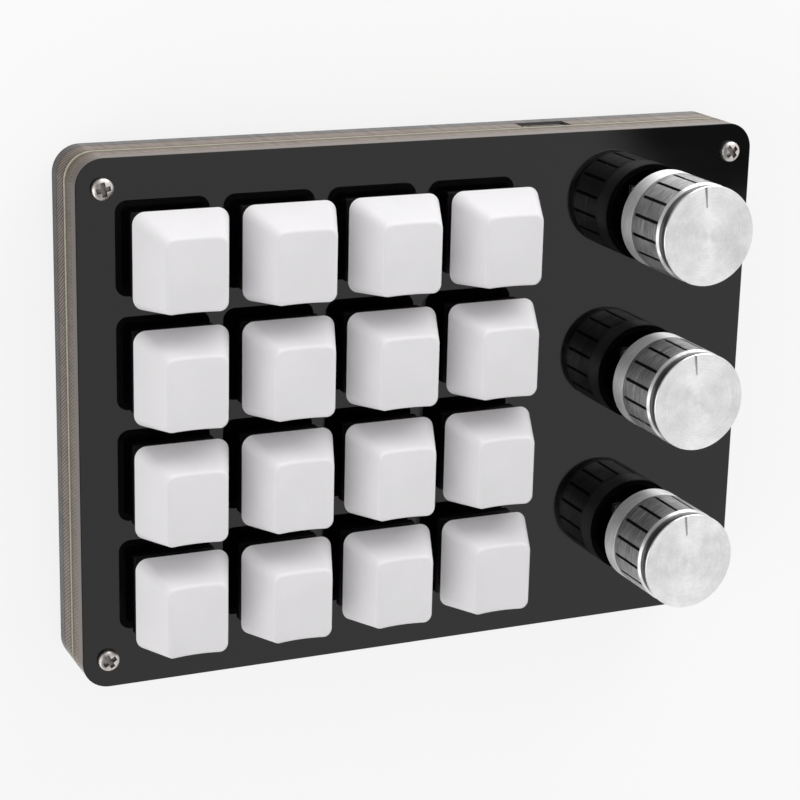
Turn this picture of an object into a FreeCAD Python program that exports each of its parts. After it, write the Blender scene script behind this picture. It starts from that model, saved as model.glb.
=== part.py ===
import FreeCAD, Part
import math
import os

# Macro keypad: a layered case that lies flat, sixteen keys and three push knobs.
# Millimetres. +Z is up, out of the keys; +Y is the rear edge with the USB socket.
# The origin is under the middle of the case, on the surface that the feet stand on.

V = FreeCAD.Vector

# Layout of the face
key_columns = 4
key_rows = 4
key_pitch_x = 20.7
key_pitch_y = 21.7
key_margin_side = 17.85
key_margin_end = 17.9
key_to_knob = 38.3
knob_margin_side = 20.45
knob_margin_end = 17.55
knob_count = 3
knob_pitch = 32.9

# Case layers, from the feet up
case_corner_radius = 5.2
foot_height = 2.5
bottom_plate_thickness = 3.0
lower_frame_thickness = 4.6
board_thickness = 1.6
upper_frame_thickness = 3.0
top_plate_thickness = 3.0
switch_to_frame = 1.9

# Feet
foot_diameter = 8.0
foot_tip_diameter = 7.0
foot_from_side = 15.0
foot_from_end = 13.0

# Case screws and the threaded standoffs between the plates
screw_from_side = 4.85
screw_from_end = 5.45
screw_diameter = 2.0
screw_hole_clearance = 0.1
screw_engagement = 2.6
screw_head_diameter = 4.1
screw_head_height = 1.4
screw_crown_diameter = 3.2
standoff_flats = 3.5
standoff_hole_clearance = 0.15
standoff_bore_clearance = 0.05

# Key switch
key_travel = 4.0
switch_hole = 14.0
switch_hole_clearance = 0.05
switch_flange_width = 15.6
switch_flange_thickness = 1.0
switch_above_board = 1.0
switch_height = 6.6
switch_top_width = 10.2
switch_wall = 1.0
switch_roof = 1.2
switch_floor = 1.2
switch_post_diameter = 4.0
switch_post_stickout = 0.7
switch_post_floor = 0.3
board_hole_clearance = 0.1

# Slider with its cross, and the spring under it
slider_width = 7.0
slider_depth = 6.0
slider_opening_clearance = 0.25
slider_shoulder = 0.7
slider_play = 0.05
pole_diameter = 3.0
pole_bore_clearance = 0.1
pole_end_clearance = 0.2
cross_span = 4.0
cross_arm = 1.2
cross_height = 3.6
cross_socket_clearance = 0.02
spring_solid_length = 1.2
spring_pole_clearance = 0.2
spring_wire = 0.4

# Contact pins of the switch
pin_width = 1.2
pin_thickness = 0.4
pin_grid = 1.27
pin_grid_steps = ((-3, 2), (2, 4))

# Keycap
cap_width = 18.1
cap_depth = 17.9
cap_height = 9.0
cap_top_width = 11.6
cap_top_depth = 13.6
cap_top_forward = 1.2
cap_corner_radius = 2.0
cap_wall = 1.3
cap_roof = 1.4
cap_dish_depth = 0.85
cap_skirt_clearance = 0.28
cap_post_diameter = 5.5
cross_end_clearance = 0.2

# Rotary encoder
press_travel = 0.5
encoder_width = 12.4
encoder_depth = 12.0
encoder_proud = 0.5
encoder_window_clearance = 0.3
encoder_base_floor = 0.6
encoder_cover_thickness = 1.0
encoder_leg_thickness = 0.5
encoder_leg_width = 6.0
encoder_leg_stickout = 0.8
encoder_leg_clearance = 0.1
bush_diameter = 7.0
bush_height = 5.0
shaft_diameter = 6.0
shaft_flat_depth = 1.5
shaft_bush_clearance = 0.05
shaft_square = 3.0
shaft_square_clearance = 0.1
shaft_end_clearance = 0.1
rotor_diameter = 8.6
rotor_thickness = 1.2
rotor_hub_diameter = 5.4
rotor_chamber_clearance = 0.4
rotor_end_clearance = 0.3

# Knob: an aluminium shell and the plastic insert pressed into it
knob_diameter = 19.6
knob_height = 16.8
knob_gap = 3.0
knob_wall = 1.2
knob_roof = 1.6
knob_face_diameter = 19.5
knob_face_height = 1.0
knob_groove_height = 0.8
knob_groove_depth = 0.5
knob_slot_count = 16
knob_slot_start = 4.1
knob_slot_width = 0.7
knob_slot_depth = 0.5
knob_pointer_degrees = 98.0
knob_pointer_start = 5.6
knob_pointer_end = 9.2
knob_pointer_width = 0.5
knob_pointer_depth = 0.2
insert_fit = 0.02
insert_recess = 0.8
insert_web = 1.5
insert_boss_diameter = 9.6
insert_boss_clearance = 0.3
insert_bore_clearance = 0.05
insert_bore_end_clearance = 0.3
insert_end_thickness = 2.4
insert_rib_count = 6
insert_rib_width = 1.2

# USB socket under the board, in the rear edge of the lower frame
usb_from_side = 41.5
usb_slot_width = 10.2
usb_width = 8.94
usb_height = 3.2
usb_length = 7.3
usb_corner_radius = 1.2
usb_wall = 0.3
usb_mouth_setback = 0.4
usb_tongue_width = 6.7
usb_tongue_thickness = 0.7
usb_tongue_setback = 0.9

# Chips on the underside of the board; their places are in key pitches from the rear left key
controller_width = 7.0
controller_thickness = 1.2
controller_pitch_shares = (2.5, 1.5)
regulator_width = 3.0
regulator_depth = 1.6
regulator_thickness = 1.1
regulator_pitch_shares = (3, 0.5)
crystal_width = 3.2
crystal_depth = 2.5
crystal_thickness = 0.9
crystal_pitch_shares = (3, 2.5)

# Every cut runs this far past the face that it leaves through
overrun = 0.5

# Small round parts have flats, to keep the model light
small_sides = 6
middle_sides = 12
bore_sides = 16
knob_sides_per_slot = 2
dish_flats = 4

# Sizes that follow from the ones above
case_width = key_margin_side + (key_columns - 1) * key_pitch_x + key_to_knob + knob_margin_side
keys_depth = (key_rows - 1) * key_pitch_y
knobs_depth = (knob_count - 1) * knob_pitch
case_depth = max(keys_depth + 2 * key_margin_end, knobs_depth + 2 * knob_margin_end)
key_first_x = -case_width / 2 + key_margin_side
key_first_y = keys_depth / 2
knob_x = case_width / 2 - knob_margin_side
usb_x = case_width / 2 - usb_from_side

bottom_plate_z = foot_height
lower_frame_z = bottom_plate_z + bottom_plate_thickness
board_z = lower_frame_z + lower_frame_thickness
upper_frame_z = board_z + board_thickness
top_plate_z = upper_frame_z + upper_frame_thickness
face_z = top_plate_z + top_plate_thickness

switch_width = switch_hole - 2 * switch_hole_clearance
switch_bottom_z = upper_frame_z + switch_above_board
switch_floor_z = switch_bottom_z + switch_floor
switch_flange_z = face_z + switch_flange_thickness
switch_top_z = face_z + switch_height
switch_post_z = board_z - switch_post_stickout
pole_bore_z = switch_post_z + switch_post_floor
pole_bottom_z = pole_bore_z + key_travel + pole_end_clearance
slider_bottom_z = switch_floor_z + key_travel + spring_solid_length
slider_shoulder_z = switch_top_z - switch_roof - slider_play
frame_border_side = key_margin_side - switch_width / 2 - switch_to_frame
frame_border_end = key_margin_end - switch_width / 2 - switch_to_frame

cap_skirt_z = switch_flange_z + key_travel + cap_skirt_clearance
cap_ceiling = cap_height - cap_dish_depth - cap_roof
cap_post_start = switch_top_z - cap_skirt_z

encoder_top_z = face_z + encoder_proud
encoder_cover_z = encoder_top_z - encoder_cover_thickness
encoder_base_width = encoder_width - 2 * (encoder_leg_thickness + encoder_leg_clearance)
encoder_floor_z = upper_frame_z + encoder_base_floor
bush_top_z = encoder_top_z + bush_height
knob_base_z = face_z + knob_gap
knob_radius = knob_diameter / 2
knob_inner_radius = knob_radius - knob_wall
knob_body_height = knob_height - knob_face_height - knob_groove_height
insert_top_z = knob_base_z + knob_height - knob_roof
insert_bore_top_z = insert_top_z - insert_end_thickness
shaft_top_z = insert_bore_top_z - insert_bore_end_clearance


def centred_box(width, depth, low, high, x=0, y=0):
    """A block centred on x, y, between two heights."""
    return Part.makeBox(width, depth, high - low, V(x - width / 2, y - depth / 2, low))


def flat_ring(diameter, z, sides, x=0, y=0):
    """Points of a level regular outline inside a circle."""
    radius = diameter / 2
    angles = [2 * math.pi * (step + 1 / 2) / sides for step in range(sides)]
    return [V(x + radius * math.cos(angle), y + radius * math.sin(angle), z) for angle in angles]


def corner_ring(width, depth, corner, z, y=0):
    """Points of a level rectangle; a corner with a radius has its start, middle and end."""
    angles = (0, 45, 90) if corner else (0,)
    points = []
    for turn, (side_x, side_y) in enumerate(((1, 1), (-1, 1), (-1, -1), (1, -1))):
        middle = V(side_x * (width / 2 - corner), y + side_y * (depth / 2 - corner), z)
        for angle in angles:
            direction = math.radians(90 * turn + angle)
            points.append(middle + V(corner * math.cos(direction), corner * math.sin(direction), 0))
    return points


def ring_face(ring):
    """A flat face inside a ring of points."""
    return Part.Face(Part.makePolygon(ring + ring[:1]))


def block_between(lower, upper):
    """A solid with flat sides between two rings of as many points."""
    faces = [ring_face(lower), ring_face(upper)]
    for side in range(len(lower)):
        after = (side + 1) % len(lower)
        faces.append(ring_face([lower[side], lower[after], upper[after], upper[side]]))
    return Part.Solid(Part.Shell(faces))


def faceted_bar(diameter, low, high, sides, x=0, y=0):
    """An upright bar with flats, inside its diameter."""
    return ring_face(flat_ring(diameter, low, sides, x, y)).extrude(V(0, 0, high - low))


def faceted_hole(diameter, low, high, sides, x=0, y=0):
    """A cutter with flats round a diameter, which runs past both ends of its hole."""
    across_corners = diameter / math.cos(math.pi / sides)
    return faceted_bar(across_corners, low - overrun, high + overrun, sides, x, y)


def rounded_outline(width, depth, radius, z):
    """A closed wire: a rectangle with four corner arcs, level at height z."""
    points = corner_ring(width, depth, radius, z)
    edges = []
    for first in range(0, len(points), 3):
        start, middle, end = points[first:first + 3]
        following = points[(first + 3) % len(points)]
        edges += [Part.Arc(start, middle, end).toShape(), Part.LineSegment(end, following).toShape()]
    return Part.Wire(edges)


def rounded_slab(width, depth, radius, low, high):
    """A flat plate with rounded corners between two heights."""
    return Part.Face(rounded_outline(width, depth, radius, low)).extrude(V(0, 0, high - low))


def joined(shapes):
    """One solid from solids that touch or cross."""
    whole = shapes[0].fuse(shapes[1:]) if len(shapes) > 1 else shapes[0]
    return whole.removeSplitter()


def placed(shape, x=0, y=0, z=0):
    """A copy of a shape, moved."""
    copy = shape.copy()
    copy.translate(V(x, y, z))
    return copy


def key_places():
    """Row, column and centre of each key, from the rear left one."""
    places = []
    for row in range(key_rows):
        for column in range(key_columns):
            x = key_first_x + column * key_pitch_x
            y = key_first_y - row * key_pitch_y
            places.append((row + 1, column + 1, x, y))
    return places


def knob_places():
    """Number and centre of each knob, from the rear one."""
    return [(number + 1, knob_x, knobs_depth / 2 - number * knob_pitch) for number in range(knob_count)]


def corner_places(from_side, from_end):
    """The four places at one distance from the sides and one from the ends."""
    x = case_width / 2 - from_side
    y = case_depth / 2 - from_end
    return [(-x, y), (x, y), (x, -y), (-x, -y)]


def screw_places():
    return corner_places(screw_from_side, screw_from_end)


def case_slab(low, high):
    """The outline that all layers of the case share."""
    return rounded_slab(case_width, case_depth, case_corner_radius, low, high)


def screw_holes(low, high):
    """Clearance holes for the case screws, through one plate."""
    diameter = screw_diameter + 2 * screw_hole_clearance
    return [faceted_hole(diameter, low, high, small_sides, x, y) for x, y in screw_places()]


def top_plate():
    """Gloss plate with square switch holes, encoder windows and screw holes."""
    low = top_plate_z - overrun
    high = face_z + overrun
    cuts = [centred_box(switch_hole, switch_hole, low, high, x, y) for row, column, x, y in key_places()]
    window_width = encoder_width + 2 * encoder_window_clearance
    window_depth = encoder_depth + 2 * encoder_window_clearance
    cuts += [centred_box(window_width, window_depth, low, high, x, y) for number, x, y in knob_places()]
    return case_slab(top_plate_z, face_z).cut(cuts + screw_holes(top_plate_z, face_z))


def bottom_plate():
    """Plain plate with the four screw holes."""
    plate = case_slab(bottom_plate_z, lower_frame_z)
    return plate.cut(screw_holes(bottom_plate_z, lower_frame_z))


def standoff_holes(low, high):
    """Hexagon holes that keep the standoffs from turning, through one layer."""
    flats = standoff_flats + 2 * standoff_hole_clearance
    return [faceted_hole(flats, low, high, small_sides, x, y) for x, y in screw_places()]


def spacer_frame(low, high):
    """A border as wide as the switches leave it, with the standoff holes."""
    window_width = case_width - 2 * frame_border_side
    window_depth = case_depth - 2 * frame_border_end
    window = centred_box(window_width, window_depth, low - overrun, high + overrun)
    return case_slab(low, high).cut([window] + standoff_holes(low, high))


def upper_frame():
    """The frame between the board and the top plate."""
    return spacer_frame(upper_frame_z, top_plate_z)


def lower_frame():
    """The frame round the underside of the board, open at the rear for the USB socket."""
    frame = spacer_frame(lower_frame_z, board_z)
    depth = frame_border_end + 2 * overrun
    y = case_depth / 2 - frame_border_end / 2
    slot = centred_box(usb_slot_width, depth, lower_frame_z - overrun, board_z + overrun, usb_x, y)
    return frame.cut(slot)


def switch_pins(low, high, clearance):
    """The two contact pins of a switch at the origin, or their slots."""
    width = pin_width + 2 * clearance
    depth = pin_thickness + 2 * clearance
    pins = []
    for steps_right, steps_back in pin_grid_steps:
        pins.append(centred_box(width, depth, low, high, pin_grid * steps_right, pin_grid * steps_back))
    return pins


def encoder_legs(low, high, clearance):
    """The two folded legs of an encoder cover at the origin."""
    thickness = encoder_leg_thickness + 2 * clearance
    width = encoder_leg_width + 2 * clearance
    x = encoder_width / 2 - encoder_leg_thickness / 2
    return [centred_box(thickness, width, low, high, side * x, 0) for side in (-1, 1)]


def circuit_board():
    """The board, as large as the case, with holes for posts, pins and legs."""
    low = board_z - overrun
    high = upper_frame_z + overrun
    cuts = standoff_holes(board_z, upper_frame_z)
    post_hole = switch_post_diameter + 2 * board_hole_clearance
    for row, column, x, y in key_places():
        cuts.append(faceted_hole(post_hole, board_z, upper_frame_z, small_sides, x, y))
        cuts += [placed(slot, x, y) for slot in switch_pins(low, high, board_hole_clearance)]
    for number, x, y in knob_places():
        cuts += [placed(slot, x, y) for slot in encoder_legs(low, high, board_hole_clearance)]
    return case_slab(board_z, upper_frame_z).cut(cuts)


def case_screw():
    """Pan head screw, head up, its seat at height zero."""
    shank = faceted_bar(screw_diameter, -top_plate_thickness - screw_engagement, 0, small_sides)
    rim = flat_ring(screw_head_diameter, 0, middle_sides)
    head = block_between(rim, flat_ring(screw_crown_diameter, screw_head_height, middle_sides))
    return joined([shank, head])


def case_screws():
    """Four screws down into the standoffs and four up into them."""
    screw = case_screw()
    turned_over = screw.copy()
    turned_over.rotate(V(0, 0, 0), V(1, 0, 0), 180)
    group = [placed(screw, x, y, face_z) for x, y in screw_places()]
    return group + [placed(turned_over, x, y, bottom_plate_z) for x, y in screw_places()]


def standoffs():
    """Hexagon standoffs between the two plates, bored through for the screws."""
    across_corners = standoff_flats / math.cos(math.pi / small_sides)
    bar = faceted_bar(across_corners, lower_frame_z, top_plate_z, small_sides)
    bore = screw_diameter + 2 * standoff_bore_clearance
    standoff = bar.cut(faceted_hole(bore, lower_frame_z, top_plate_z, small_sides))
    return [placed(standoff, x, y) for x, y in screw_places()]


def rubber_feet():
    """Low round feet, narrower where they stand."""
    tip = flat_ring(foot_tip_diameter, 0, middle_sides)
    foot = block_between(tip, flat_ring(foot_diameter, foot_height, middle_sides))
    return [placed(foot, x, y) for x, y in corner_places(foot_from_side, foot_from_end)]


def lower_housing():
    """Switch body below the flange, hollow, with the bored centre post."""
    body = centred_box(switch_width, switch_width, switch_bottom_z, face_z)
    flange = centred_box(switch_flange_width, switch_flange_width, face_z, switch_flange_z)
    post = faceted_bar(switch_post_diameter, switch_post_z, switch_floor_z, small_sides)
    cavity_width = switch_width - 2 * switch_wall
    cavity = centred_box(cavity_width, cavity_width, switch_floor_z, switch_flange_z + overrun)
    bore = faceted_bar(pole_diameter + 2 * pole_bore_clearance, pole_bore_z, switch_floor_z, small_sides)
    return joined([body, flange, post]).cut([cavity, bore])


def upper_housing():
    """Tapered cover of the switch with the slider's opening in its roof."""
    roof_z = switch_top_z - switch_roof
    roof_share = switch_roof / (switch_top_z - switch_flange_z)
    inner_base = switch_width - 2 * switch_wall
    inner_top = switch_top_width + (switch_width - switch_top_width) * roof_share - 2 * switch_wall
    outer_low = corner_ring(switch_width, switch_width, 0, switch_flange_z)
    outer = block_between(outer_low, corner_ring(switch_top_width, switch_top_width, 0, switch_top_z))
    inner_low = corner_ring(inner_base, inner_base, 0, switch_flange_z)
    inner = block_between(inner_low, corner_ring(inner_top, inner_top, 0, roof_z))
    opening_width = slider_width + 2 * slider_opening_clearance
    opening_depth = slider_depth + 2 * slider_opening_clearance
    opening = centred_box(opening_width, opening_depth, switch_flange_z, switch_top_z + overrun)
    return outer.cut([inner, opening])


def key_stem():
    """Slider: cross, shoulder that the roof holds back, and guide pole."""
    cross_top = switch_top_z + cross_height
    along = centred_box(cross_span, cross_arm, switch_top_z, cross_top)
    across = centred_box(cross_arm, cross_span, switch_top_z, cross_top)
    neck = centred_box(slider_width, slider_depth, slider_bottom_z, switch_top_z)
    shoulder_width = slider_width + 2 * slider_shoulder
    shoulder = centred_box(shoulder_width, slider_depth, slider_bottom_z, slider_shoulder_z)
    pole = faceted_bar(pole_diameter, pole_bottom_z, slider_bottom_z, small_sides)
    return joined([neck, shoulder, along, across, pole])


def switch_spring():
    """The space of the coil spring, round the pole, from the floor to the slider."""
    inner = pole_diameter + 2 * spring_pole_clearance
    outer = (inner + 2 * spring_wire) / math.cos(math.pi / small_sides)
    sleeve = faceted_bar(outer, switch_floor_z, slider_bottom_z, small_sides)
    return sleeve.cut(faceted_hole(inner, switch_floor_z, slider_bottom_z, small_sides))


def cap_block(low, high, inset, corner):
    """The keycap's tapered block between two heights, its walls moved in by an inset."""
    rings = []
    for height in (low, high):
        share = height / cap_height
        width = cap_width + (cap_top_width - cap_width) * share - 2 * inset
        depth = cap_depth + (cap_top_depth - cap_depth) * share - 2 * inset
        rings.append(corner_ring(width, depth, corner, height, -cap_top_forward * share))
    return block_between(*rings)


def cap_dish():
    """A trough along Y, on an arc between the top's left and right edges, in a few flats."""
    half = cap_top_width / 2
    radius = (half * half + cap_dish_depth * cap_dish_depth) / (2 * cap_dish_depth)
    middle_z = cap_height - cap_dish_depth + radius
    reach = math.asin(half / radius)
    points = []
    for step in range(dish_flats + 1):
        angle = reach * (2 * step / dish_flats - 1)
        points.append(V(radius * math.sin(angle), -cap_depth, middle_z - radius * math.cos(angle)))
    points += [point + V(0, 0, overrun + cap_dish_depth) for point in (points[-1], points[0])]
    return ring_face(points).extrude(V(0, 2 * cap_depth, 0))


def keycap():
    """Tapered shell with a dished top, and the post with the cross socket inside."""
    body = cap_block(0, cap_height, 0, cap_corner_radius).cut(cap_dish())
    shell = body.cut(cap_block(0, cap_ceiling, cap_wall, 0))
    post = faceted_bar(cap_post_diameter, cap_post_start, cap_ceiling, small_sides)
    span = cross_span + 2 * cross_socket_clearance
    arm = cross_arm + 2 * cross_socket_clearance
    top = cap_post_start + cross_height + cross_end_clearance
    low = cap_post_start - overrun
    socket = [centred_box(span, arm, low, top), centred_box(arm, span, low, top)]
    return placed(joined([shell, post]).cut(socket), 0, 0, cap_skirt_z)


def encoder_base():
    """Plastic base with the rotor's chamber."""
    base = centred_box(encoder_base_width, encoder_depth, upper_frame_z, encoder_cover_z)
    chamber = rotor_diameter + 2 * rotor_chamber_clearance
    return base.cut(faceted_bar(chamber, encoder_floor_z, encoder_cover_z, middle_sides))


def encoder_cover():
    """Metal cover: top plate, two folded legs and the bush for the shaft."""
    plate = centred_box(encoder_width, encoder_depth, encoder_cover_z, encoder_top_z)
    legs = encoder_legs(board_z - encoder_leg_stickout, encoder_cover_z, 0)
    bush = faceted_bar(bush_diameter, encoder_top_z, bush_top_z, bore_sides)
    bore = shaft_diameter + 2 * shaft_bush_clearance
    cover = joined([plate, bush] + legs)
    return cover.cut(faceted_hole(bore, encoder_cover_z, bush_top_z, bore_sides))


def encoder_rotor():
    """Contact disc and hub with a square bore, which the shaft turns and slides in."""
    low = encoder_floor_z + rotor_end_clearance
    hub_top = encoder_cover_z - press_travel - rotor_end_clearance
    disc = faceted_bar(rotor_diameter, low, low + rotor_thickness, middle_sides)
    hub = faceted_bar(rotor_hub_diameter, low, hub_top, small_sides)
    square = shaft_square + 2 * shaft_square_clearance
    return joined([disc, hub]).cut(centred_box(square, square, low - overrun, hub_top + overrun))


def d_bar(diameter, flat_depth, low, high):
    """A round bar, made of flats, with one wide flat, which faces -Y."""
    bar = faceted_bar(diameter, low, high, bore_sides)
    return bar.cut(centred_box(diameter, diameter, low, high, 0, flat_depth - diameter))


def encoder_shaft():
    """Shaft with a D-shaped end for the knob and a square stub in the rotor."""
    bottom = encoder_floor_z + press_travel + shaft_end_clearance
    stub = centred_box(shaft_square, shaft_square, bottom, encoder_cover_z)
    bar = faceted_bar(shaft_diameter, encoder_cover_z, bush_top_z, bore_sides)
    return joined([stub, bar, d_bar(shaft_diameter, shaft_flat_depth, bush_top_z, shaft_top_z)])


def knob_ring(radius, z):
    """Points of the knob's outline at one radius and height, with a corner on the pointer's line."""
    sides = knob_slot_count * knob_sides_per_slot
    start = math.radians(knob_pointer_degrees) + math.pi / sides
    angles = [start + 2 * math.pi * step / sides for step in range(sides)]
    return [V(radius * math.cos(angle), radius * math.sin(angle), z) for angle in angles]


def knob_slice(radius, low, high):
    """A level slice of the knob."""
    return ring_face(knob_ring(radius, low)).extrude(V(0, 0, high - low))


def knob_slots():
    """Cutters for the slots that run up the band into the groove."""
    x = knob_radius + (overrun - knob_slot_depth) / 2
    top = knob_body_height + knob_groove_height / 2
    slot = centred_box(knob_slot_depth + overrun, knob_slot_width, knob_slot_start, top, x)
    cutters = []
    for number in range(knob_slot_count):
        cutter = slot.copy()
        cutter.rotate(V(0, 0, 0), V(0, 0, 1), knob_pointer_degrees + number * 360 / knob_slot_count)
        cutters.append(cutter)
    return cutters


def knob_pointer():
    """Cutter for the line in the face that shows where the knob points."""
    length = knob_pointer_end - knob_pointer_start
    x = (knob_pointer_end + knob_pointer_start) / 2
    low = knob_height - knob_pointer_depth
    line = centred_box(length, knob_pointer_width, low, knob_height + overrun, x)
    line.rotate(V(0, 0, 0), V(0, 0, 1), knob_pointer_degrees)
    return line


def knob_shell():
    """Metal shell: base rim, slotted band, groove and the face with its pointer."""
    face_low = knob_height - knob_face_height
    body = knob_slice(knob_radius, 0, knob_body_height)
    neck = knob_slice(knob_radius - knob_groove_depth, knob_body_height, face_low)
    face = knob_slice(knob_face_diameter / 2, face_low, knob_height)
    hollow = faceted_bar(2 * knob_inner_radius, -overrun, knob_height - knob_roof, bore_sides)
    cutters = [hollow, knob_pointer()] + knob_slots()
    return placed(joined([body, neck, face]).cut(cutters), 0, 0, knob_base_z)


def knob_insert():
    """Plastic insert: web, boss with the D-shaped bore, and ribs out to the shell."""
    web_diameter = 2 * (knob_inner_radius - insert_fit)
    top = knob_height - knob_roof
    web_low = top - insert_web
    boss_low = bush_top_z - knob_base_z + press_travel + insert_boss_clearance
    web = faceted_bar(web_diameter, web_low, top, bore_sides)
    boss = faceted_bar(insert_boss_diameter, boss_low, web_low, middle_sides)
    rib_inner = (insert_boss_diameter - insert_rib_width) / 2
    rib_outer = web_diameter / 2 * math.cos(math.pi / bore_sides)
    rib_middle = (rib_inner + rib_outer) / 2
    rib = centred_box(rib_outer - rib_inner, insert_rib_width, insert_recess, web_low, rib_middle)
    ribs = []
    for number in range(insert_rib_count):
        copy = rib.copy()
        copy.rotate(V(0, 0, 0), V(0, 0, 1), number * 360 / insert_rib_count)
        ribs.append(copy)
    bore = shaft_diameter + 2 * insert_bore_clearance
    hole = d_bar(bore, shaft_flat_depth, boss_low - overrun, insert_bore_top_z - knob_base_z)
    return placed(joined([web, boss] + ribs).cut(hole), 0, 0, knob_base_z)


def usb_profile(inset, y, length):
    """The rounded section of the socket, from y towards the front."""
    width = usb_width - 2 * inset
    height = usb_height - 2 * inset
    section = ring_face(corner_ring(width, height, usb_corner_radius - inset, 0)).extrude(V(0, 0, length))
    section.rotate(V(0, 0, 0), V(1, 0, 0), 90)
    return placed(section, usb_x, y, board_z - usb_height / 2)


def usb_socket():
    """Steel shell, open at the rear, and the tongue that stands in it."""
    mouth_y = case_depth / 2 - usb_mouth_setback
    shell = usb_profile(0, mouth_y, usb_length)
    shell = shell.cut(usb_profile(usb_wall, mouth_y + overrun, usb_length + overrun - usb_wall))
    back_y = mouth_y - usb_length + usb_wall
    tongue_length = usb_length - usb_wall - usb_tongue_setback
    half = usb_tongue_thickness / 2
    middle_z = board_z - usb_height / 2
    tongue_y = back_y + tongue_length / 2
    tongue = centred_box(usb_tongue_width, tongue_length, middle_z - half, middle_z + half, usb_x, tongue_y)
    return [shell, tongue]


def board_chip(width, depth, thickness, pitch_shares):
    """A chip under the board, at a place in key pitches from the rear left key."""
    x = key_first_x + pitch_shares[0] * key_pitch_x
    y = key_first_y - pitch_shares[1] * key_pitch_y
    return centred_box(width, depth, board_z - thickness, board_z, x, y)


def board_components():
    """Controller, regulator and crystal on the board's underside."""
    return [
        board_chip(controller_width, controller_width, controller_thickness, controller_pitch_shares),
        board_chip(regulator_width, regulator_depth, regulator_thickness, regulator_pitch_shares),
        board_chip(crystal_width, crystal_depth, crystal_thickness, crystal_pitch_shares),
    ]


def at_keys(solids):
    """Copies of a switch's solids at every key, as one list."""
    return [placed(solid, x, y) for row, column, x, y in key_places() for solid in solids]


def at_knobs(solids):
    """Copies of an encoder's solids at every knob, as one list."""
    return [placed(solid, x, y) for number, x, y in knob_places() for solid in solids]


def all_nodes():
    """Every node of the keypad, as a name and a list of solids."""
    nodes = {
        "bottom_plate": [bottom_plate()],
        "lower_frame": [lower_frame()],
        "circuit_board": [circuit_board()],
        "upper_frame": [upper_frame()],
        "top_plate": [top_plate()],
        "case_screws": case_screws(),
        "standoffs": standoffs(),
        "rubber_feet": rubber_feet(),
        "usb_socket": usb_socket(),
        "board_components": board_components(),
        "switch_lower_housings": at_keys([lower_housing()]),
        "switch_upper_housings": at_keys([upper_housing()]),
        "switch_springs": at_keys([switch_spring()]),
        "switch_pins": at_keys(switch_pins(board_z - switch_post_stickout, switch_bottom_z, 0)),
        "encoder_bases": at_knobs([encoder_base()]),
        "encoder_covers": at_knobs([encoder_cover()]),
    }
    cap = keycap()
    stem = key_stem()
    for row, column, x, y in key_places():
        nodes["keycap_r%dc%d" % (row, column)] = [placed(cap, x, y)]
        nodes["key_stem_r%dc%d" % (row, column)] = [placed(stem, x, y)]
    turning = {
        "encoder_rotor": encoder_rotor(),
        "encoder_shaft": encoder_shaft(),
        "knob_insert": knob_insert(),
        "knob_shell": knob_shell(),
    }
    for number, x, y in knob_places():
        for name, shape in turning.items():
            nodes["%s_%d" % (name, number)] = [placed(shape, x, y)]
    return nodes


os.makedirs("parts", exist_ok=True)
for node_name, node_solids in all_nodes().items():
    node_shape = node_solids[0] if len(node_solids) == 1 else Part.makeCompound(node_solids)
    node_shape.exportStep("parts/%s.step" % node_name)
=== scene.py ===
import math

import bmesh
import bpy
from mathutils import Matrix, Vector


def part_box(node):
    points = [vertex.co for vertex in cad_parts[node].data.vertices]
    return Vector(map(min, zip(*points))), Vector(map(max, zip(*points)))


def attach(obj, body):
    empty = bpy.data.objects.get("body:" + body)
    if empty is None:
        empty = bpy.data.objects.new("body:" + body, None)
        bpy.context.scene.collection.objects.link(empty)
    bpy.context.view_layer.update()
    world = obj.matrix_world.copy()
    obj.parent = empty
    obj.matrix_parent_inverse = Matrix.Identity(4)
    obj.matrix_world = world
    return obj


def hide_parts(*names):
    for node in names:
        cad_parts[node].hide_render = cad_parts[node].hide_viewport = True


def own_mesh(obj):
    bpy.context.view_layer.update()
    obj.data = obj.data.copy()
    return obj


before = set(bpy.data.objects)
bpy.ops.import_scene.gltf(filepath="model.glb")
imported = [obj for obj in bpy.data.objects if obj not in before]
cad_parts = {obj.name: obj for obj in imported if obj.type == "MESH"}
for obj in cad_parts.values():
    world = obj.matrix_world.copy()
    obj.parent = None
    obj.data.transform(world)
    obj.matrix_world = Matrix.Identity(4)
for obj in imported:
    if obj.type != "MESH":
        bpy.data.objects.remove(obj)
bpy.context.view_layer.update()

bl_info = {
    "name": "Macro keypad with knobs",
    "version": (1, 0, 0),
    "blender": (4, 5, 0),
    "location": "3D View > Sidebar > Keypad",
    "description": "Dresses the keypad's solids with finished pieces, materials, floor and light",
    "category": "Object",
}

MM = 0.001
KEYS = sorted(name[len("keycap_"):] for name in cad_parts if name.startswith("keycap_"))
KNOBS = sorted(name[len("knob_shell_"):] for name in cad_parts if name.startswith("knob_shell_"))


def middle(node):
    """The centre of a solid's box."""
    low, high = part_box(node)
    return (low + high) / 2


def key_centre(key):
    """Centre of a key's stem, on the keypad's floor."""
    centre = middle("key_stem_" + key)
    return Vector((centre.x, centre.y, 0))


def knob_centre(knob):
    """Centre of a knob, on the keypad's floor."""
    centre = middle("knob_shell_" + knob)
    return Vector((centre.x, centre.y, 0))


FACE_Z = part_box("top_plate")[1].z
KNOB_PITCH = knob_centre("1").y - knob_centre("2").y
FINISH = {}

# Limits for welding points, for cutting, and for telling one length from another
WELD = 0.001 * MM
CUT_LIMIT = 0.0001 * MM
SAME_HEIGHT = 0.01 * MM

# A face whose normal's Z is above this lies level
LEVEL_Z = 0.9999

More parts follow.
